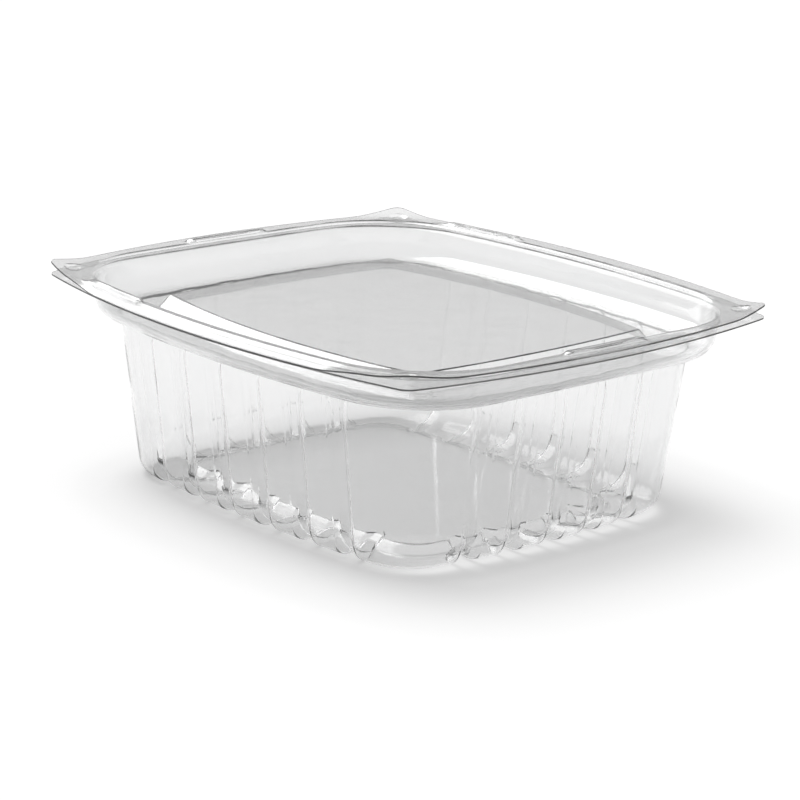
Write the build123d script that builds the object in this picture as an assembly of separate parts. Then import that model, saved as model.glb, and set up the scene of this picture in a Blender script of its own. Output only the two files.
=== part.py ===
from build123d import *
import math
import os

# Clear thermoformed food container: a ribbed tray and a plug lid, each one sheet of plastic.
# Millimetres, +Z up, +X along the longer side, origin on the ground under the middle.

# Sheet and working allowances
sheet = 0.5
plug_clearance = 0.4
overrun = 2.0

# Flange outline, shared by tray and lid: bowed sides that meet in four rounded ears
flange_length = 190.0
flange_width = 170.0
flange_end_bow = 8.2
flange_side_bow = 10.7
ear_radius = 5.0

# Tray heights
tray_height = 64.2
ledge_height = 53.4

# Tray wall at the ground, its draft and its rounded lower edge
body_length = 145.0
body_width = 124.0
body_end_bow = 5.4
body_side_bow = 4.6
body_corner_radius = 18.5
wall_draft_share = 0.13
foot_radius = 5.5

# Tray rim band, outside, just under the flange
rim_length = 175.6
rim_width = 156.2
rim_end_bow = 1.0
rim_side_bow = 9.4
rim_corner_radius = 36.0
rim_inset = 1.5
shoulder_radius = 5.0
rim_lip_radius = 2.0

# Wall grooves between the ribs
side_groove_pitch = 18.2
end_groove_pitch = 16.6
side_groove_count = 6
end_groove_count = 5
groove_depth = 1.5
groove_mouth = 8.0
groove_floor = 3.2
groove_rise = 1.2
rib_arch_height = 6.5
rib_tip_width = 4.0
groove_bend_radius = 6.0
groove_reach = 15.0

# Raised floor
floor_rise = 2.75
floor_length = 113.0
floor_width = 88.0
floor_end_bow = 3.0
floor_side_bow = 3.0
floor_corner_radius = 10.0
floor_slope = 2.5

# Lid heights
lid_gap = 1.6
panel_step = 4.7

# Lid centre panel
panel_length = 123.8
panel_width = 105.8
panel_end_bow = 2.4
panel_side_bow = 6.5
panel_corner_radius = 0.7
panel_slope = 4.6

# Lid ears, dimples and beads
ear_bend = 5.0
ear_lift = 2.4
dimple_radius = 2.7
dimple_depth = 0.7
dimple_inset = 8.0
bead_length = 33.0
bead_width = 3.8
bead_height = 1.0
bead_offset = 4.2
bead_slope = 0.6
side_bead_place = 46.0

os.makedirs("parts", exist_ok=True)


def bowed_outline(length, width, end_bow, side_bow, corner_radius):
    """Rectangle with four outward-bowed sides and rounded corners."""
    mid_x = length / 2
    mid_y = width / 2
    corner_x = mid_x - end_bow
    corner_y = mid_y - side_bow
    front = ThreePointArc((-corner_x, -corner_y), (0, -mid_y), (corner_x, -corner_y))
    right = ThreePointArc((corner_x, -corner_y), (mid_x, 0), (corner_x, corner_y))
    back = ThreePointArc((corner_x, corner_y), (0, mid_y), (-corner_x, corner_y))
    left = ThreePointArc((-corner_x, corner_y), (-mid_x, 0), (-corner_x, -corner_y))
    face = make_face([front, right, back, left])
    return fillet(face.vertices(), corner_radius)


def frustum(low_outline, low_z, high_outline, high_z):
    """Straight-sided solid between two outlines of the same make."""
    return loft([Pos(0, 0, low_z) * low_outline, Pos(0, 0, high_z) * high_outline], ruled=True)


def flange_outline(grow):
    return bowed_outline(
        flange_length + 2 * grow,
        flange_width + 2 * grow,
        flange_end_bow,
        flange_side_bow,
        ear_radius + grow,
    )


def body_outline(height, inset):
    """Tray wall outline at a height, moved in by the inset."""
    grow = wall_draft_share * height - inset
    return bowed_outline(
        body_length + 2 * grow,
        body_width + 2 * grow,
        body_end_bow,
        body_side_bow,
        body_corner_radius + grow,
    )


def rim_outline(height, inset):
    """Rim band outline at a height, moved in by the inset."""
    band_height = tray_height - ledge_height
    inward = inset + rim_inset * (tray_height - height) / band_height
    return bowed_outline(
        rim_length - 2 * inward,
        rim_width - 2 * inward,
        rim_end_bow,
        rim_side_bow,
        rim_corner_radius - inward,
    )


def floor_outline(grow):
    return bowed_outline(
        floor_length + 2 * grow,
        floor_width + 2 * grow,
        floor_end_bow,
        floor_side_bow,
        floor_corner_radius + grow,
    )


def panel_outline(grow):
    return bowed_outline(
        panel_length + 2 * grow,
        panel_width + 2 * grow,
        panel_end_bow,
        panel_side_bow,
        panel_corner_radius + grow,
    )


def edges_at(solid, height):
    """Edges that lie flat at one height."""
    reach = sheet / 10
    return solid.edges().filter_by(lambda e: abs(e.bounding_box().min.Z - height) < reach
                                   and abs(e.bounding_box().max.Z - height) < reach)


def groove_cutter(grow):
    """One wall groove on a wall that faces -Y: down the wall and in under the floor."""
    start_z = ledge_height + overrun
    path = FilletPolyline(
        (0, groove_depth - wall_draft_share * start_z, start_z),
        (0, groove_depth - wall_draft_share * groove_rise, groove_rise),
        (0, groove_reach, groove_rise),
        radius=groove_bend_radius,
    )
    plane = Plane(origin=path @ 0, x_dir=(1, 0, 0), z_dir=path % 0)
    rise = groove_depth + overrun
    half_floor = groove_floor / 2
    half_mouth = half_floor + (groove_mouth - groove_floor) / 2 * rise / groove_depth
    section = make_face(Polyline(
        (-half_floor, 0), (half_floor, 0), (half_mouth, rise), (-half_mouth, rise), close=True))
    if grow > 0:
        section = offset(section, grow, kind=Kind.INTERSECTION)
    return sweep(plane * section, path=path)


def rib_shoulder_cutter(pitch, grow):
    """Widens a groove at its top, so that the ribs beside it end in round arches."""
    side_slope = (groove_mouth - groove_floor) / 2 / groove_depth
    deep = groove_depth + grow
    top_z = ledge_height + side_slope * deep + overrun
    arch_z = ledge_height - rib_arch_height
    half_low = groove_mouth / 2 + grow
    half_high = (pitch - rib_tip_width) / 2 + grow
    steep = math.hypot(1, wall_draft_share)
    wall = Plane(origin=(0, 0, 0), x_dir=(1, 0, 0), z_dir=(0, -1, -wall_draft_share))
    low = arch_z * steep
    high = ledge_height * steep
    end = top_z * steep
    right = TangentArc((half_low, low), (half_high, high), tangent=(0, 1))
    left = TangentArc((-half_low, low), (-half_high, high), tangent=(0, 1))
    face = make_face([
        Line((-half_low, low), (half_low, low)),
        right,
        Polyline((half_high, high), (half_high, end), (-half_high, end), (-half_high, high)),
        left,
    ])
    slant = math.degrees(math.atan(side_slope))
    return extrude(wall * face, -deep, taper=slant) + extrude(wall * face, overrun)


def grooves(grow):
    """All the wall grooves, each turned to its own place on the bowed wall."""
    half_x = body_length / 2
    half_y = body_width / 2
    chord_x = half_x - body_end_bow
    chord_y = half_y - body_side_bow
    sides = (
        (0, half_y, chord_x, body_side_bow, side_groove_pitch, side_groove_count),
        (90, half_x, chord_y, body_end_bow, end_groove_pitch, end_groove_count),
        (180, half_y, chord_x, body_side_bow, side_groove_pitch, side_groove_count),
        (270, half_x, chord_y, body_end_bow, end_groove_pitch, end_groove_count),
    )
    cutter = groove_cutter(grow)
    tools = []
    for turn, distance, half_chord, bow, pitch, count in sides:
        shoulder = rib_shoulder_cutter(pitch, grow)
        radius = (half_chord**2 + bow**2) / (2 * bow)
        for index in range(count):
            along = (index - (count - 1) / 2) * pitch
            tilt = math.degrees(math.asin(along / radius))
            middle = distance - radius
            place = Rot(0, 0, turn) * Pos(0, -middle, 0) * Rot(0, 0, tilt) * Pos(0, -radius, 0)
            tools.append(place * cutter)
            tools.append(place * shoulder)
    return tools


def lip_edges(solid, height):
    """Edges of the rim opening at one height, without the flange's own outline."""
    loop = edges_at(solid, height)
    loop = loop.filter_by(lambda e: e.length > 2 * ear_radius)
    return loop.filter_by(lambda e: abs(e.center().X) < rim_length / 2 + sheet
                          and abs(e.center().Y) < rim_width / 2 + sheet)


# Tray, outside form
ledge_under = ledge_height - sheet
body_top = ledge_under + overrun
outer_body = frustum(body_outline(0, 0), 0, body_outline(body_top, 0), body_top)
outer_body = fillet(edges_at(outer_body, 0), foot_radius)
outer_body = outer_body - grooves(0)
outer_body = outer_body - frustum(
    floor_outline(floor_slope), 0, floor_outline(0), floor_rise)

outer_rim = frustum(
    rim_outline(ledge_under, 0), ledge_under, rim_outline(tray_height, 0), tray_height)
outer_rim = fillet(edges_at(outer_rim, ledge_under), shoulder_radius)
tray_plate = Pos(0, 0, tray_height - sheet) * extrude(flange_outline(0), sheet)
rim_and_plate = outer_rim + tray_plate
rim_and_plate = fillet(lip_edges(rim_and_plate, tray_height - sheet), rim_lip_radius - sheet)
outer_tray = outer_body + rim_and_plate

# Tray, inside form
inner_body = frustum(
    body_outline(sheet, sheet), sheet, body_outline(body_top + sheet, sheet), body_top + sheet)
inner_body = fillet(edges_at(inner_body, sheet), foot_radius - sheet)
inner_body = inner_body - grooves(sheet)
inner_body = inner_body - frustum(
    floor_outline(floor_slope + sheet), 0, floor_outline(sheet), floor_rise + sheet)

rim_over = tray_height + overrun
inner_rim = frustum(
    rim_outline(ledge_height, sheet), ledge_height, rim_outline(rim_over, sheet), rim_over)
inner_rim = fillet(edges_at(inner_rim, ledge_height), shoulder_radius - sheet)

base_tray = outer_tray - inner_body - inner_rim
base_tray = fillet(lip_edges(base_tray, tray_height), rim_lip_radius)
export_step(base_tray, "parts/base_tray.step")

# Lid, worked as a top form less the same form one sheet lower
lid_under = tray_height + lid_gap
lid_top = lid_under + sheet
channel_under = ledge_height
channel_top = ledge_height + sheet
panel_top = channel_top + panel_step
form_floor = channel_under - 2 * overrun
ear_x = flange_length / 2 - flange_end_bow
ear_y = flange_width / 2 - flange_side_bow
ear_reach = math.hypot(ear_x, ear_y)
ear_turn = math.degrees(math.atan2(ear_y, ear_x))
ear_turns = (ear_turn, 180 - ear_turn, 180 + ear_turn, 360 - ear_turn)


def ear_ramps(plate_top):
    """Blocks whose tops rise along the diagonals, beyond the bend line of each ear."""
    bend_at = ear_reach - ear_bend
    end_at = ear_reach + overrun
    end_lift = ear_lift * (end_at - bend_at) / ear_bend
    profile = make_face(Polyline(
        (bend_at, 0, plate_top - overrun),
        (end_at, 0, plate_top - overrun),
        (end_at, 0, plate_top + end_lift),
        (bend_at, 0, plate_top),
        close=True,
    ))
    ramp = extrude(profile, ear_reach / 2, dir=(0, 1, 0), both=True)
    return [Rot(0, 0, turn) * ramp for turn in ear_turns]


def plug_pocket(inset, floor_z, top_z, corner_radius):
    """Hollow of the lid, from the channel floor up past the flange."""
    pocket = frustum(rim_outline(floor_z, inset), floor_z, rim_outline(top_z, inset), top_z)
    return fillet(edges_at(pocket, floor_z), corner_radius)


def dimples(grow, plate_top):
    """Small round dishes set in from the ear tips."""
    dish = Pos(0, 0, plate_top - dimple_depth) * extrude(Circle(dimple_radius + grow), dimple_depth)
    out = ear_reach - dimple_inset
    return [Rot(0, 0, turn) * Pos(out, 0, 0) * dish for turn in ear_turns]


def beads(shrink, plate_top):
    """Raised stiffening beads on the flange, two on the ends and two on the sides."""
    low = SlotOverall(bead_length - 2 * shrink, bead_width - 2 * shrink)
    crown_loss = 2 * (shrink + bead_slope)
    high = SlotOverall(bead_length - crown_loss, bead_width - crown_loss)
    bead = loft([Pos(0, 0, plate_top) * low, Pos(0, 0, plate_top + bead_height) * high], ruled=True)
    end_out = rim_length / 2 + bead_offset - bead_width / 2
    half_chord = rim_length / 2 - rim_end_bow
    radius = (half_chord**2 + rim_side_bow**2) / (2 * rim_side_bow)
    tilt = math.degrees(math.asin(side_bead_place / radius))
    side_out = radius + bead_offset - bead_width / 2
    middle = rim_width / 2 - radius
    return [
        Pos(end_out, 0, 0) * Rot(0, 0, 90) * bead,
        Pos(-end_out, 0, 0) * Rot(0, 0, 90) * bead,
        Pos(0, -middle, 0) * Rot(0, 0, -tilt) * Pos(0, -side_out, 0) * bead,
        Pos(0, middle, 0) * Rot(0, 0, tilt) * Pos(0, side_out, 0) * bead,
    ]


# Top form
lip_inset = sheet + plug_clearance
top_form = Pos(0, 0, form_floor) * extrude(flange_outline(0), lid_top + ear_lift + overrun - form_floor)
top_slab = Pos(0, 0, form_floor) * extrude(flange_outline(overrun), lid_top - form_floor)
top_form = top_form & (top_slab + ear_ramps(lid_top))
top_form = top_form - plug_pocket(
    lip_inset + sheet, channel_top, lid_top + overrun, shoulder_radius - sheet)
top_form = fillet(lip_edges(top_form, lid_top), rim_lip_radius)
top_form = top_form + beads(0, lid_top) - dimples(0, lid_top)
top_form = top_form + frustum(
    panel_outline(panel_slope), channel_top, panel_outline(0), panel_top)

# Under form
under_form = Pos(0, 0, form_floor - overrun) * extrude(
    flange_outline(overrun), lid_under - form_floor + overrun)
under_form = under_form - plug_pocket(
    lip_inset, channel_under, lid_under + overrun, shoulder_radius)
under_form = fillet(lip_edges(under_form, lid_under), rim_lip_radius - sheet)
under_form = under_form + ear_ramps(lid_under)
under_form = under_form + beads(sheet, lid_under) - dimples(sheet, lid_under)
under_form = under_form + frustum(
    panel_outline(panel_slope - sheet), channel_under, panel_outline(-sheet), panel_top - sheet)

lid = top_form - under_form
export_step(lid, "parts/lid.step")
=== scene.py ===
import math
from collections import namedtuple

import bmesh
import bpy
from mathutils import Matrix, Vector


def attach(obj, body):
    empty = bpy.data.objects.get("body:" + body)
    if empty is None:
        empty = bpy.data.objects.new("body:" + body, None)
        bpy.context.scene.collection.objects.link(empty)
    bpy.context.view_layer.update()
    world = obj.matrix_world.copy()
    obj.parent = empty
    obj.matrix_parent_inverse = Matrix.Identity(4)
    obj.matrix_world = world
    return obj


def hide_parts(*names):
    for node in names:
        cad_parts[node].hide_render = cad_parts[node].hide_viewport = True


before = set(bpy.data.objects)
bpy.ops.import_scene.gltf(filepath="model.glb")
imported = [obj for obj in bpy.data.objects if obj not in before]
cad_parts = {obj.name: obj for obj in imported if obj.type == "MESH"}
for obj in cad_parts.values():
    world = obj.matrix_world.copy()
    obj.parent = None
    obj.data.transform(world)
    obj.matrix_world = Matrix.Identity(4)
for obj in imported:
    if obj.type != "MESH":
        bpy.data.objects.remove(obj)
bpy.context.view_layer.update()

# Tray.
# One sheet of clear plastic, heated and drawn down over a mould in a single stroke.
# Its drafted wall is fluted for stiffness, and the flutes end below in scalloped feet.
scene = bpy.context.scene
mm = 0.001
sheet = 0.5 * mm
tray_top = 64.2 * mm
ledge_top = 53.4 * mm
ledge_under = ledge_top - sheet
wall_draft = 0.13
flute_pitch = (18.2 * mm, 16.6 * mm)
flute_count = (6, 5)
# Distances in mm from a flute's middle, and shares of a corner's turn, close together where the form changes.
flute_marks = (0, 1.2, 1.7, 2.0, 2.3, 3.0, 3.7, 4.0, 4.3, 5.2, 6.1, 7.0)
half_corner_marks = (0, 0.07, 0.14, 0.21, 0.27, 0.32, 0.36, 0.385,
                     0.4, 0.41, 0.42, 0.43, 0.44, 0.455, 0.475, 0.5)
corner_marks = half_corner_marks + tuple(1 - m for m in half_corner_marks[-2:0:-1])
mark_margin = 0.4 * mm
mark_digits = 6

Stop = namedtuple("Stop", "centre radius angle side place next_side next_place")


def flute_middles(side):
    """Places of the flutes' middle lines along a side, measured from the side's own middle."""
    pitch, count = flute_pitch[side % 2], flute_count[side % 2]
    return [(k - (count - 1) / 2) * pitch for k in range(count)]


def side_marks(half, side):
    """Stops along one side as shares of its length, close together on the flutes' edges."""
    marks = {-half}
    for middle in flute_middles(side):
        for step in flute_marks:
            for at in (middle - step * mm, middle + step * mm):
                if -half + mark_margin < at < half - mark_margin:
                    marks.add(round(at, mark_digits))
        marks.add(round(middle + flute_pitch[side] / 2, mark_digits))
    return [(m + half) / (2 * half) for m in sorted(marks) if m < half - mark_margin]


def arc_radius(half_chord, bow):
    """Radius of a bowed side, from half its chord and how far its middle stands out."""
    return (half_chord**2 + bow**2) / (2 * bow)


def bowed_columns(length, width, end_bow, side_bow, corner_radius, side_shares=None, end_shares=None):
    """Walks round a bowed rectangle, side and corner in turn, and returns the stops and the shares used.

    A stop has an arc's centre and radius, the way it faces and its place along the side, and in a corner its
    place along the next side too. The shares set the stops along the sides; without them the flutes do.
    """
    chord_x, chord_y = length / 2 - end_bow, width / 2 - side_bow
    side_r, end_r = arc_radius(chord_x, side_bow), arc_radius(chord_y, end_bow)
    side_c = Vector((0, side_r - width / 2))
    end_c = Vector((length / 2 - end_r, 0))
    reach_s, reach_e = side_r - corner_radius, end_r - corner_radius
    across = end_c - side_c
    gap = across.length
    along = (reach_s**2 - reach_e**2 + gap**2) / (2 * gap)
    off = math.sqrt(reach_s**2 - along**2)
    unit = across / gap
    corner_c = side_c + unit * along + Vector((-unit.y, unit.x)) * off
    if corner_c.x < 0 or corner_c.y > 0:
        corner_c = side_c + unit * along - Vector((-unit.y, unit.x)) * off
    side_turn = math.atan2(corner_c.x, side_c.y - corner_c.y)
    end_turn = math.atan2(-corner_c.y, corner_c.x - end_c.x)
    side_half, end_half = side_r * side_turn, end_r * end_turn
    side_shares = side_shares or side_marks(side_half, 0)
    end_shares = end_shares or side_marks(end_half, 1)
    stops = []
    for side in range(4):
        flip = (side // 2) * math.pi
        spin = Matrix.Rotation(flip, 2)
        if side % 2 == 0:
            centre, radius, turn, half, shares = side_c, side_r, side_turn, side_half, side_shares
            facing, corner, next_turn, next_half = -math.pi / 2, corner_c, end_turn, end_half
        else:
            centre, radius, turn, half, shares = end_c, end_r, end_turn, end_half, end_shares
            facing, corner = 0.0, Vector((corner_c.x, -corner_c.y))
            next_turn, next_half = side_turn, side_half
        for share in shares:
            a = -turn + 2 * turn * share
            stops.append(Stop(spin @ centre, radius, facing + flip + a, side, radius * a, None, 0.0))
        first = facing + turn
        last = facing + math.pi / 2 - next_turn
        next_side = (side + 1) % 4
        for share in corner_marks:
            a = first + (last - first) * share
            place = half + corner_radius * (a - first)
            next_place = -next_half - corner_radius * (last - a)
            stops.append(Stop(spin @ corner, corner_radius, flip + a, side, place, next_side, next_place))
    return stops, side_shares, end_shares


def ring(stops, inset, z):
    """One closed row of points at a set-in distance and height, which may differ from stop to stop."""
    points = []
    for i, stop in enumerate(stops):
        inward = inset[i] if isinstance(inset, list) else inset
        height = z[i] if isinstance(z, list) else z
        reach = stop.radius - inward
        points.append(Vector((stop.centre.x + reach * math.cos(stop.angle),
                              stop.centre.y + reach * math.sin(stop.angle), height)))
    return points


def middle_rows(stops, shares, z):
    """Rows of a flat middle, as shares of its outline."""
    return [[Vector((p.x * share, p.y * share, z)) for p in ring(stops, 0, z)] for share in shares]


def bridge(start, end, shares):
    """Rows on the straight way from one row to another."""
    return [[a.lerp(b, share) for a, b in zip(start, end)] for share in shares]


def quarter_turn(steps):
    """Angles from nothing to a right angle."""
    return [math.pi / 2 * k / steps for k in range(steps + 1)]


def grey(level):
    return (level, level, level, 1)


def colour_ramp(tree, stops):
    """A ramp with a colour at each position, from the lowest to the highest."""
    ramp = tree.nodes.new("ShaderNodeValToRGB")
    elements = ramp.color_ramp.elements
    for element, (position, colour) in ((elements[0], stops[0]), (elements[1], stops[-1])):
        element.position = position
        element.color = colour
    for position, colour in stops[1:-1]:
        elements.new(position).color = colour
    return ramp


def noise(tree, scale, detail):
    """A noise in the object's own coordinates."""
    where = tree.nodes.new("ShaderNodeTexCoord")
    texture = tree.nodes.new("ShaderNodeTexNoise")
    texture.inputs["Scale"].default_value = scale
    texture.inputs["Detail"].default_value = detail
    tree.links.new(where.outputs["Object"], texture.inputs["Vector"])
    return texture.outputs["Fac"]


def mixed(tree, share, first, second):
    """The first shader where the share is 0, the second where it is 1."""
    mix = tree.nodes.new("ShaderNodeMixShader")
    for slot, socket in enumerate((share, first, second)):
        tree.links.new(socket, mix.inputs[slot])
    return mix.outputs[0]


def clear_plastic(name, tint):
    """Clear drawn sheet: glossy, faintly grey, a little cloudy and slowly rippled by the mould.

    Lamps shine through it, the less so the more it leans away from them.
    """
    mat = bpy.data.materials.new(name)
    mat.use_nodes = True
    tree = mat.node_tree
    nodes, links = tree.nodes, tree.links
    shader = nodes["Principled BSDF"]
    shader.inputs["Transmission Weight"].default_value = 1.0
    shader.inputs["IOR"].default_value = 1.5
    cloud = noise(tree, scale=35.0, detail=3.0)
    cloudy = (tint - 0.012, tint - 0.010, tint - 0.009, 1)
    shade = colour_ramp(tree, ((0.3, cloudy), (0.7, grey(tint))))
    links.new(cloud, shade.inputs["Fac"])
    links.new(shade.outputs["Color"], shader.inputs["Base Color"])
    gloss = nodes.new("ShaderNodeMapRange")
    gloss.inputs["To Max"].default_value = 0.06
    links.new(cloud, gloss.inputs["Value"])
    links.new(gloss.outputs["Result"], shader.inputs["Roughness"])
    ripple = nodes.new("ShaderNodeBump")
    ripple.inputs["Strength"].default_value = 0.15
    ripple.inputs["Distance"].default_value = 0.6 * mm
    links.new(noise(tree, scale=60.0, detail=1.0), ripple.inputs["Height"])
    links.new(ripple.outputs["Normal"], shader.inputs["Normal"])
    lean = nodes.new("ShaderNodeLayerWeight")
    lean.inputs["Blend"].default_value = 0.5
    light_by_lean = ((0.0, 0.97), (0.22, 0.94), (0.42, 0.74), (0.74, 0.67), (0.9, 0.3), (1.0, 0.1))
    passed = colour_ramp(tree, [(position, grey(level)) for position, level in light_by_lean])
    links.new(lean.outputs["Facing"], passed.inputs["Fac"])
    through = nodes.new("ShaderNodeBsdfTransparent")
    links.new(passed.outputs["Color"], through.inputs["Color"])
    rays = nodes.new("ShaderNodeLightPath")
    surface = mixed(tree, rays.outputs["Is Shadow Ray"], shader.outputs[0], through.outputs[0])
    links.new(surface, nodes["Material Output"].inputs["Surface"])
    return mat


def cut_edge(name, shade):
    """The cut rim of a sheet, painted grey as shade where light runs along inside it, with fine marks of the
    cutter.
    """
    mat = bpy.data.materials.new(name)
    mat.use_nodes = True
    tree = mat.node_tree
    shader = tree.nodes["Principled BSDF"]
    shader.inputs["Transmission Weight"].default_value = 0.75
    shader.inputs["IOR"].default_value = 1.5
    shader.inputs["Roughness"].default_value = 0.35
    # Painted shade: the rim's grey stands in for the darkening from light running along inside the sheet; the
    # noise adds cutter marks.
    tone = colour_ramp(tree, ((0.0, grey(shade * 0.8)), (1.0, grey(shade))))
    tree.links.new(noise(tree, scale=400.0, detail=2.0), tone.inputs["Fac"])
    tree.links.new(tone.outputs["Color"], shader.inputs["Base Color"])
    return mat


def drawn_sheet(name, rows, grow_up, plastic, edge):
    """Closes the first row of points as the sheet's middle, draws it on from row to row and thickens it."""
    sharp_angle = math.radians(50)
    bm = bmesh.new()
    row = [bm.verts.new(p) for p in rows[0]]
    edges = [bm.edges.new((row[i], row[(i + 1) % len(row)])) for i in range(len(row))]
    bmesh.ops.contextual_create(bm, geom=edges)
    for points in rows[1:]:
        place = {v: i for i, v in enumerate(row)}
        grown = bmesh.ops.extrude_edge_only(bm, edges=edges)["geom"]
        row = [None] * len(points)
        for v in grown:
            if isinstance(v, bmesh.types.BMVert):
                i = next(place[e.other_vert(v)] for e in v.link_edges if e.other_vert(v) in place)
                v.co = points[i]
                row[i] = v
        edges = [e for e in grown if isinstance(e, bmesh.types.BMEdge) and e.is_boundary]
    bmesh.ops.recalc_face_normals(bm, faces=bm.faces[:])
    if sum(f.normal.z * f.calc_area() for f in bm.faces) < 0:
        bmesh.ops.reverse_faces(bm, faces=bm.faces[:])
    face = bpy.data.meshes.new(name + "_face")
    bm.to_mesh(face)
    bm.free()
    face.materials.append(plastic)
    face.materials.append(edge)
    former = bpy.data.objects.new(name + "_former", face)
    scene.collection.objects.link(former)
    skin = former.modifiers.new("skin", "SOLIDIFY")
    skin.thickness = sheet
    skin.offset = 1 if grow_up else -1
    skin.material_offset_rim = 1
    mesh = bpy.data.meshes.new_from_object(former.evaluated_get(bpy.context.evaluated_depsgraph_get()))
    bpy.data.objects.remove(former)
    mesh.name = name
    mesh.polygons.foreach_set("use_smooth", [True] * len(mesh.polygons))
    mesh.set_sharp_from_angle(angle=sharp_angle)
    piece = bpy.data.objects.new(name, mesh)
    scene.collection.objects.link(piece)
    return piece


wall_stops, side_shares, end_shares = bowed_columns(
    length=145 * mm, width=124 * mm, end_bow=5.4 * mm, side_bow=4.6 * mm, corner_radius=18.5 * mm)
floor_stops, _, _ = bowed_columns(
    length=113 * mm, width=88 * mm, end_bow=3.0 * mm, side_bow=3.0 * mm, corner_radius=10.0 * mm,
    side_shares=side_shares, end_shares=end_shares)
rim_length, rim_width = 175.6 * mm, 156.2 * mm
rim_end_bow, rim_side_bow = 1.0 * mm, 9.4 * mm
rim_stops, _, _ = bowed_columns(
    rim_length, rim_width, rim_end_bow, rim_side_bow, corner_radius=36.0 * mm,
    side_shares=side_shares, end_shares=end_shares)
rim_draft = 1.5 * mm
flute_depth = 0.8 * mm
flute_half_floor = 2.0 * mm
flute_half_mouth = 4.0 * mm
edge_round = 0.3 * mm
arch_height = 6.5 * mm
rib_tip = 4.0 * mm


def rounded_ramp(u):
    """Nothing below the edge, then a straight rise, with the edge itself rounded."""
    if u <= -edge_round:
        return 0.0
    return u if u >= edge_round else (u + edge_round)**2 / (4 * edge_round)


def flute_share(stop, z):
    """How far the wall is sunk into a flute at this stop: 0 on a rib, 1 on a flute's floor."""
    up = max(0.0, min(1.0, (z - (ledge_under - arch_height)) / arch_height))
    spread = 1 - math.sqrt(1 - up * up)
    share = 0.0
    for side, place in ((stop.side, stop.place), (stop.next_side, stop.next_place)):
        if side is None:
            continue
        half = flute_half_mouth + (flute_pitch[side % 2] / 2 - rib_tip / 2 - flute_half_mouth) * spread
        floor_half = flute_half_floor + (half - flute_half_mouth)
        for middle in flute_middles(side):
            d = abs(place - middle)
            sunk = (rounded_ramp(half - d) - rounded_ramp(floor_half - d)) / (half - floor_half)
            share = max(share, sunk)
    return share


def rim_in(z):
    """How far the rim band leans in at a height below the tray's top."""
    return rim_draft * (tray_top - z) / (tray_top - ledge_top)


foot_radius = 5.5 * mm
bend_radius = 8.0 * mm
flute_rise = 1.2 * mm
floor_rise = 2.75 * mm
floor_jog = 1.2 * mm
bend_steps = 8
shoulder_r = 5.0 * mm
# Set-in distances and heights in mm of the floor's step and the feet's inner edge, and heights up the wall.
floor_step = ((1.2, 2.75), (0.7, 2.72), (0.3, 2.58), (0.0, 2.35), (-0.9, 1.5), (-1.9, 0.5))
foot_edge = ((-2.3, 0.2), (-2.8, 0.05), (-3.4, 0.0))
wall_levels = (9, 12, 18, 25, 32, 39, 44, 46.4, 47.4, 48.3, 49.2, 50, 50.7, 51.3, 51.9, 52.4, 52.9)
tray_band_levels = (59.2, 60.6, 61.6)
# Shares of the way across the floor, over to the shoulder and out along the flange.
floor_shares = (0.05, 0.5, 0.9)
shoulder_shares = (0.15, 0.5, 0.85)
tray_flange_shares = (0.15, 0.4, 0.7, 0.93, 1.0)

low_share = [flute_share(stop, 0.0) for stop in wall_stops]
jog = [floor_jog * (2 * w - 1) for w in low_share]
tray_rows = middle_rows(floor_stops, floor_shares, floor_rise)
for inward, z in floor_step:
    lift = flute_rise * (1 - z * mm / floor_rise)
    heights = [z * mm + lift * w for w in low_share]
    tray_rows.append(ring(floor_stops, [inward * mm + j for j in jog], heights))
for inward, z in foot_edge:
    heights = [z * mm + flute_rise * w for w in low_share]
    tray_rows.append(ring(floor_stops, [inward * mm + j for j in jog], heights))
for a in reversed(quarter_turn(bend_steps)):
    rib_z = foot_radius * (1 - math.sin(a))
    flute_z = flute_rise + bend_radius * (1 - math.sin(a))
    rib_in = foot_radius * (1 - math.cos(a)) - wall_draft * rib_z
    flute_in = flute_depth + bend_radius * (1 - math.cos(a)) - wall_draft * flute_z
    tray_rows.append(ring(wall_stops,
                          [rib_in * (1 - w) + flute_in * w for w in low_share],
                          [rib_z * (1 - w) + flute_z * w for w in low_share]))
for level in wall_levels:
    z = level * mm
    sunk = [flute_depth * flute_share(stop, z) - wall_draft * z for stop in wall_stops]
    tray_rows.append(ring(wall_stops, sunk, z))


def rim_rows(inset, low, corner_r, levels, top, lip_r, lip_steps):
    """Rows round the corner at a rim band's foot, up the band and out over the lip to the flange."""
    rows = []
    for a in quarter_turn(bend_steps):
        z = low + corner_r * (1 - math.cos(a))
        rows.append(ring(rim_stops, inset + rim_in(z) + corner_r * (1 - math.sin(a)), z))
    for level in levels:
        rows.append(ring(rim_stops, inset + rim_in(level * mm), level * mm))
    for a in quarter_turn(lip_steps):
        z = top - lip_r * (1 - math.sin(a))
        rows.append(ring(rim_stops, inset - lip_r * (1 - math.cos(a)) + rim_in(z), z))
    return rows


flange_half_x, flange_half_y = 95 * mm, 85 * mm
flange_end_bow, flange_side_bow = 8.2 * mm, 10.7 * mm
flange_end_r = arc_radius(flange_half_y - flange_side_bow, flange_end_bow)
flange_side_r = arc_radius(flange_half_x - flange_end_bow, flange_side_bow)
ear_round = 2.5 * mm
flange_limit = 40 * mm
halvings = 30


def flange_reach(start, facing):
    """Distance from a point out to the flange's bowed edge with its round ears, found by halving."""
    near, far = 0.0, flange_limit
    for _ in range(halvings):
        mid = (near + far) / 2
        x = abs(start.x + facing[0] * mid)
        y = abs(start.y + facing[1] * mid)
        past_end = math.hypot(x - (flange_half_x - flange_end_r), y) - flange_end_r + ear_round
        past_side = math.hypot(x, y - (flange_half_y - flange_side_r)) - flange_side_r + ear_round
        beyond = math.hypot(max(past_end, 0), max(past_side, 0)) + min(max(past_end, past_side), 0)
        if beyond < ear_round:
            near = mid
        else:
            far = mid
    return near


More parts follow.
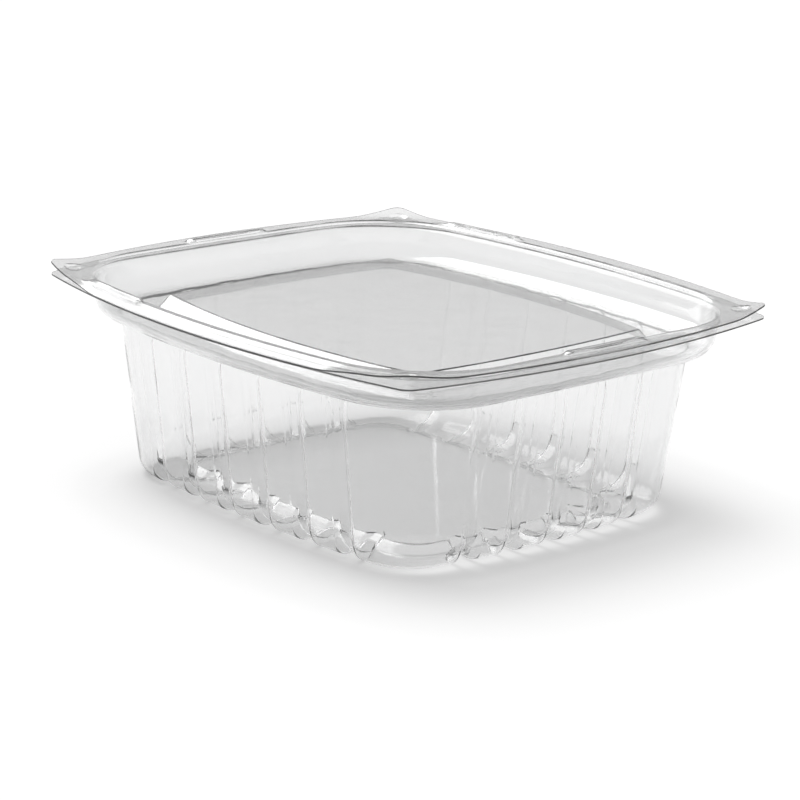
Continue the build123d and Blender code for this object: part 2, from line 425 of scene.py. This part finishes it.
def flange_edge(lip_row):
    """The flange's edge, straight out from each point of the row where the lip ends."""
    edge = []
    for p, stop in zip(lip_row, rim_stops):
        facing = (math.cos(stop.angle), math.sin(stop.angle))
        d = flange_reach(p, facing)
        edge.append(Vector((p.x + facing[0] * d, p.y + facing[1] * d, p.z)))
    return edge


shoulder_start = ring(rim_stops, rim_in(ledge_under) + shoulder_r, ledge_under)
tray_rows += bridge(tray_rows[-1], shoulder_start, shoulder_shares)
tray_rows += rim_rows(inset=0.0, low=ledge_under, corner_r=shoulder_r, levels=tray_band_levels,
                      top=tray_top - sheet, lip_r=1.5 * mm, lip_steps=5)
tray_rows += bridge(tray_rows[-1], flange_edge(tray_rows[-1]), tray_flange_shares)
# The tray's cut rim is painted dark grey as shade.
tray = drawn_sheet("tray_sheet", tray_rows, True,
                   clear_plastic("tray_clear_plastic", tint=0.93), cut_edge("tray_cut_edge", shade=0.25))
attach(tray, "tray")
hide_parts("base_tray")

# Lid.
# A second sheet of the same clear plastic, drawn to a shallow plug that presses into the tray's rim.
# Its flange has four turned-up ears, each with a dimple, and four raised beads; its middle is a flat panel.
lid_top = 66.3 * mm
channel_top = ledge_top + sheet
channel_r = 4.5 * mm
panel_top = 58.6 * mm
plug_in = 1.4 * mm
panel_stops, _, _ = bowed_columns(
    length=123.8 * mm, width=105.8 * mm, end_bow=2.4 * mm, side_bow=6.5 * mm, corner_radius=0.7 * mm,
    side_shares=side_shares, end_shares=end_shares)
# Set-in distances and heights in mm of the panel's sloping edge, and heights up the plug's wall.
panel_edge = ((0.35, 58.6), (0.1, 58.56), (-0.1, 58.45), (-0.3, 58.28), (-2.2, 56.3), (-4.0, 54.45),
              (-4.35, 54.15), (-4.7, 53.97), (-5.2, 53.9))
lid_band_levels = (60.0, 62.0, 63.6)
# Shares of the way across the panel and over the channel, and the number of rows along the flange.
panel_shares = (0.05, 0.5, 0.9, 0.985)
channel_shares = (0.2, 0.5, 0.8)
flange_steps = 20

lid_rows = middle_rows(panel_stops, panel_shares, panel_top)
lid_rows += [ring(panel_stops, inward * mm, z * mm) for inward, z in panel_edge]
channel_end = ring(rim_stops, plug_in + rim_in(channel_top) + channel_r, channel_top)
lid_rows += bridge(lid_rows[-1], channel_end, channel_shares)
lid_rows += rim_rows(inset=plug_in, low=channel_top, corner_r=channel_r, levels=lid_band_levels,
                     top=lid_top, lip_r=2.0 * mm, lip_steps=6)

ear_x, ear_y = flange_half_x - flange_end_bow, flange_half_y - flange_side_bow
ear_reach = math.hypot(ear_x, ear_y)
ear_tip = ear_reach - 0.9 * mm
ear_bend = 8.0 * mm
ear_lift = 2.0 * mm
ear_curve = 1.5
dimple_share = 1 - 8.0 * mm / ear_reach
dimple_r, dimple_depth, dimple_slope = 2.9 * mm, 0.7 * mm, 0.9 * mm
bead_half, bead_r, bead_height, bead_slope = 16.5 * mm, 1.9 * mm, 1.0 * mm, 1.0 * mm
bead_gap = 2.3 * mm
bead_offset = 46 * mm
rim_side_r = arc_radius(rim_length / 2 - rim_end_bow, rim_side_bow)
bead_turn = math.asin(bead_offset / rim_side_r)
bead_line_r = rim_side_r + bead_gap
beads = []
for end in (-1, 1):
    beads.append((Vector((end * (rim_length / 2 + bead_gap), 0)), Vector((0, 1))))
for side in (-1, 1):
    bead_y = bead_line_r * math.cos(bead_turn) - (rim_side_r - rim_width / 2)
    centre = Vector((-bead_line_r * math.sin(bead_turn), side * bead_y))
    beads.append((centre, Vector((math.cos(bead_turn), side * math.sin(bead_turn)))))
# The near long side of the flange droops towards its edge and is level again before the ears.
droop_width = 4.6 * mm
droop_slope = 0.42
droop_end = 74 * mm
droop_fade = 22 * mm


def soft_step(value):
    """A smooth rise from 0 to 1."""
    t = max(0.0, min(1.0, value))
    return t * t * (3 - 2 * t)


def flange_height(x, y):
    """Height of the lid's flange above its flat: ears, drooping near side, dimples and beads."""
    ax, ay = abs(x), abs(y)
    out = (ax * ear_x + ay * ear_y) / ear_reach
    past = max(0.0, (out - ear_tip + ear_bend) / ear_bend)
    rise = ear_lift * past**ear_curve
    if y < 0:
        edge_y = math.sqrt(flange_side_r**2 - ax**2) - (flange_side_r - flange_half_y)
        fall = droop_slope * max(0.0, ay - edge_y + droop_width)
        rise -= fall * soft_step((droop_end - ax) / droop_fade)
    d = math.hypot(ax - ear_x * dimple_share, ay - ear_y * dimple_share)
    rise -= dimple_depth * soft_step((dimple_r - d) / dimple_slope)
    for centre, along in beads:
        rel = Vector((x, y)) - centre
        run = max(0.0, abs(rel.dot(along)) - (bead_half - bead_r))
        off = math.hypot(run, rel.x * along.y - rel.y * along.x)
        rise += bead_height * soft_step((bead_r - off) / bead_slope)
    return rise


flange_shares = [k / flange_steps for k in range(1, flange_steps + 1)]
for flat_row in bridge(lid_rows[-1], flange_edge(lid_rows[-1]), flange_shares):
    lid_rows.append([Vector((p.x, p.y, p.z + flange_height(p.x, p.y))) for p in flat_row])
# The lid's cut rim is painted a lighter grey as shade.
lid = drawn_sheet("lid_sheet", lid_rows, False,
                  clear_plastic("lid_clear_plastic", tint=0.92), cut_edge("lid_cut_edge", shade=0.35))
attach(lid, "lid")
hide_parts("lid")

# Studio.
# A white table in a white room under one large soft lamp, with a bright window that only the plastic mirrors.
# Nothing here belongs to the container.
table_half = 3.0
table_bm = bmesh.new()
bmesh.ops.create_grid(table_bm, x_segments=1, y_segments=1, size=table_half)
table_mesh = bpy.data.meshes.new("studio_floor")
table_bm.to_mesh(table_mesh)
table_bm.free()
floor = bpy.data.objects.new("studio_floor", table_mesh)
scene.collection.objects.link(floor)


def either_of(tree, first, second):
    """The larger of two values: 1 where either of two kinds of ray is meant."""
    larger = tree.nodes.new("ShaderNodeMath")
    larger.operation = "MAXIMUM"
    tree.links.new(first, larger.inputs[0])
    tree.links.new(second, larger.inputs[1])
    return larger.outputs[0]


table_mat = bpy.data.materials.new("white_table")
table_mat.use_nodes = True
table_tree = table_mat.node_tree
table_shader = table_tree.nodes["Principled BSDF"]
table_shader.inputs["Base Color"].default_value = grey(0.9)
table_shader.inputs["Roughness"].default_value = 0.8
table_shader.inputs["Specular IOR Level"].default_value = 0.0
table_shader.inputs["Emission Color"].default_value = grey(1)
table_rays = table_tree.nodes.new("ShaderNodeLightPath").outputs
table_seen = either_of(table_tree, table_rays["Is Camera Ray"], table_rays["Is Glossy Ray"])
table_seen = either_of(table_tree, table_seen, table_rays["Is Transmission Ray"])
table_glow = table_tree.nodes.new("ShaderNodeMath")
table_glow.operation = "MULTIPLY"
table_glow.inputs[1].default_value = 0.28
table_tree.links.new(table_seen, table_glow.inputs[0])
table_tree.links.new(table_glow.outputs[0], table_shader.inputs["Emission Strength"])
table_mesh.materials.append(table_mat)

world = bpy.data.worlds.new("white_room")
scene.world = world
world.use_nodes = True
room_tree = world.node_tree
room_nodes, room_links = room_tree.nodes, room_tree.links
room = room_nodes["Background"]
room.inputs["Color"].default_value = grey(1)
room.inputs["Strength"].default_value = 0.19
look = room_nodes.new("ShaderNodeTexCoord")
height = room_nodes.new("ShaderNodeSeparateXYZ")
room_links.new(look.outputs["Generated"], height.inputs[0])
walls = colour_ramp(room_tree, ((0.0, grey(1)), (0.12, grey(0.42))))
room_links.new(height.outputs["Z"], walls.inputs["Fac"])
toward_window = room_nodes.new("ShaderNodeVectorMath")
toward_window.operation = "DOT_PRODUCT"
toward_window.inputs[1].default_value = (-0.73, -0.1, 0.67)
room_links.new(look.outputs["Generated"], toward_window.inputs[0])
window = room_nodes.new("ShaderNodeMapRange")
window.interpolation_type = "SMOOTHSTEP"
window.inputs["From Min"].default_value = 0.84
window.inputs["From Max"].default_value = 0.91
window.inputs["To Max"].default_value = 3.0
room_links.new(toward_window.outputs["Value"], window.inputs["Value"])
walls_and_window = room_nodes.new("ShaderNodeVectorMath")
room_links.new(walls.outputs["Color"], walls_and_window.inputs[0])
room_links.new(window.outputs["Result"], walls_and_window.inputs[1])
mirrored_room = room_nodes.new("ShaderNodeBackground")
room_links.new(walls_and_window.outputs["Vector"], mirrored_room.inputs["Color"])
backdrop = room_nodes.new("ShaderNodeBackground")
backdrop.inputs["Color"].default_value = grey(1)
room_rays = room_nodes.new("ShaderNodeLightPath").outputs
by_plastic = either_of(room_tree, room_rays["Is Glossy Ray"], room_rays["Is Transmission Ray"])
around = mixed(room_tree, by_plastic, room.outputs[0], mirrored_room.outputs[0])
seen_room = mixed(room_tree, room_rays["Is Camera Ray"], around, backdrop.outputs[0])
room_links.new(seen_room, room_nodes["World Output"].inputs["Surface"])

lamp_travel = Vector((0.34, 0.03, -0.94))
lamp = bpy.data.lights.new("top_softbox", "SUN")
lamp.energy = 2.25
lamp.angle = math.radians(40)
lamp_holder = bpy.data.objects.new("top_softbox", lamp)
lamp_holder.rotation_euler = lamp_travel.to_track_quat("-Z", "Y").to_euler()
lamp_holder.visible_glossy = False
lamp_holder.visible_transmission = False
scene.collection.objects.link(lamp_holder)

# Camera.
# Stands above the near corner, turned to the photograph's view.
azimuth, elevation, roll = math.radians(48.33), math.radians(15.17), math.radians(1.72)
distance = 919.3 * mm
aim = Vector((0, 0, 36.7 * mm))
level_reach = math.cos(elevation)
toward = Vector((math.sin(azimuth) * level_reach, -math.cos(azimuth) * level_reach, math.sin(elevation)))
right = Vector((math.cos(azimuth), math.sin(azimuth), 0))
up = right.cross(-toward)
tilted_up = up * math.cos(roll) - right * math.sin(roll)
tilted_right = tilted_up.cross(toward)
lens = bpy.data.cameras.new("camera")
lens.lens = 130.2
lens.sensor_width = 36.0
lens.shift_x = 0.0005
lens.shift_y = -0.0272
camera = bpy.data.objects.new("camera", lens)
turned = Matrix((tilted_right, tilted_up, toward)).transposed().to_4x4()
camera.matrix_world = Matrix.Translation(aim + toward * distance) @ turned
scene.collection.objects.link(camera)
scene.camera = camera

scene.view_settings.view_transform = "Standard"
scene.cycles.max_bounces = 32
scene.cycles.transmission_bounces = 32
scene.cycles.glossy_bounces = 8
scene.cycles.caustics_refractive = False
scene.cycles.caustics_reflective = False

bpy.context.view_layer.update()
